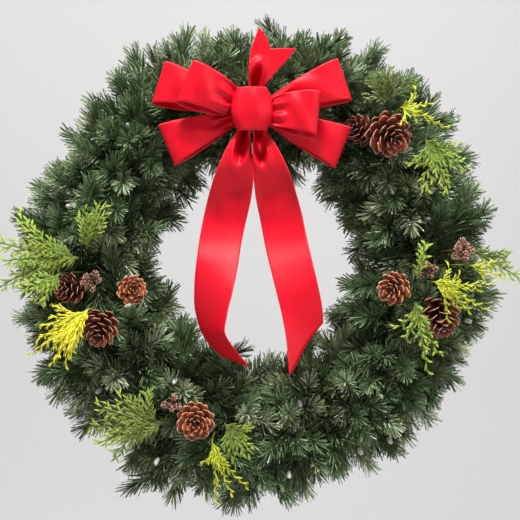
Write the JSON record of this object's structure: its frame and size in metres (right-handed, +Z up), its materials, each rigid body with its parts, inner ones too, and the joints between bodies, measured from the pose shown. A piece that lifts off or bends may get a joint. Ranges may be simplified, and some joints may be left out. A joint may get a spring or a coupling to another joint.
{
  "type": "evergreen wreath",
  "caption": "Hanging evergreen wreath on a wire ring, with pine cones, cedar and golden cypress sprays, mini lights and a red ribbon bow.",
  "frame": {"origin": "the nail that the wire hanger hangs on, in the wall's plane at the top of the back", "axes": "+Z up, +X to the right as one faces the wreath, +Y into the wall; the wreath stands in front of the wall at negative Y"},
  "size_m": [0.7638, 0.2055, 0.7318],
  "materials": {
    "fir": "fresh fir needles on green twigs, dark green with a soft sheen",
    "cedar": "flat scale-leaved cedar sprays, bright matte green",
    "golden_cypress": "thread-like golden cypress tips, yellow-green, matte",
    "cone": "dry pine cone scales, reddish brown with paler rims",
    "seed_husk": "dry brown seed husks, matte",
    "bow_satin": "red satin ribbon with a soft sheen",
    "frame_wire": "green lacquered steel wire",
    "tie_wire": "bare galvanised wire",
    "light_string": "green cord and sockets, clear bulbs"
  },
  "bodies": {
    "root": {"fir_bunch_01": "fir", "fir_bunch_02": "fir", "fir_bunch_03": "fir", "fir_bunch_04": "fir", "fir_bunch_05": "fir", "fir_bunch_06": "fir", "fir_bunch_07": "fir", "fir_bunch_08": "fir", "fir_bunch_09": "fir", "fir_bunch_10": "fir", "fir_bunch_11": "fir", "fir_bunch_12": "fir", "fir_bunch_13": "fir", "fir_bunch_14": "fir", "fir_bunch_15": "fir", "fir_bunch_16": "fir", "fir_bunch_17": "fir", "fir_bunch_18": "fir", "cedar_left_fan": "cedar", "cedar_left_low": "cedar", "cedar_left_upright": "cedar", "cedar_top_right": "cedar", "cedar_top_olive": "cedar", "cedar_bottom_left": "cedar", "cedar_bottom_small": "cedar", "cedar_right_long": "cedar", "cedar_right_sprig": "cedar", "cedar_far_right": "cedar", "cypress_left": "golden_cypress", "cypress_top_right": "golden_cypress", "cypress_bottom": "golden_cypress", "cypress_right": "golden_cypress", "cypress_far_right": "golden_cypress", "pine_cone_1": "cone", "pine_cone_2": "cone", "pine_cone_3": "cone", "pine_cone_4": "cone", "pine_cone_5": "cone", "pine_cone_6": "cone", "pine_cone_7": "cone", "pine_cone_8": "cone", "seed_cluster_1": "seed_husk", "seed_cluster_2": "seed_husk", "seed_cluster_3": "seed_husk", "seed_cluster_4": "seed_husk", "bow_knot": "bow_satin", "bow_loop_upper_left": "bow_satin", "bow_loop_front_left": "bow_satin", "bow_loop_lower_left": "bow_satin", "bow_loop_upper_right": "bow_satin", "bow_loop_front_right": "bow_satin", "bow_loop_lower_right": "bow_satin", "bow_tail_left": "bow_satin", "bow_tail_right": "bow_satin", "bow_end_top": "bow_satin", "wire_frame": "frame_wire", "hanger_loop": "tie_wire", "bow_tie": "tie_wire", "light_string": "light_string"}
  },
  "joints": []
}
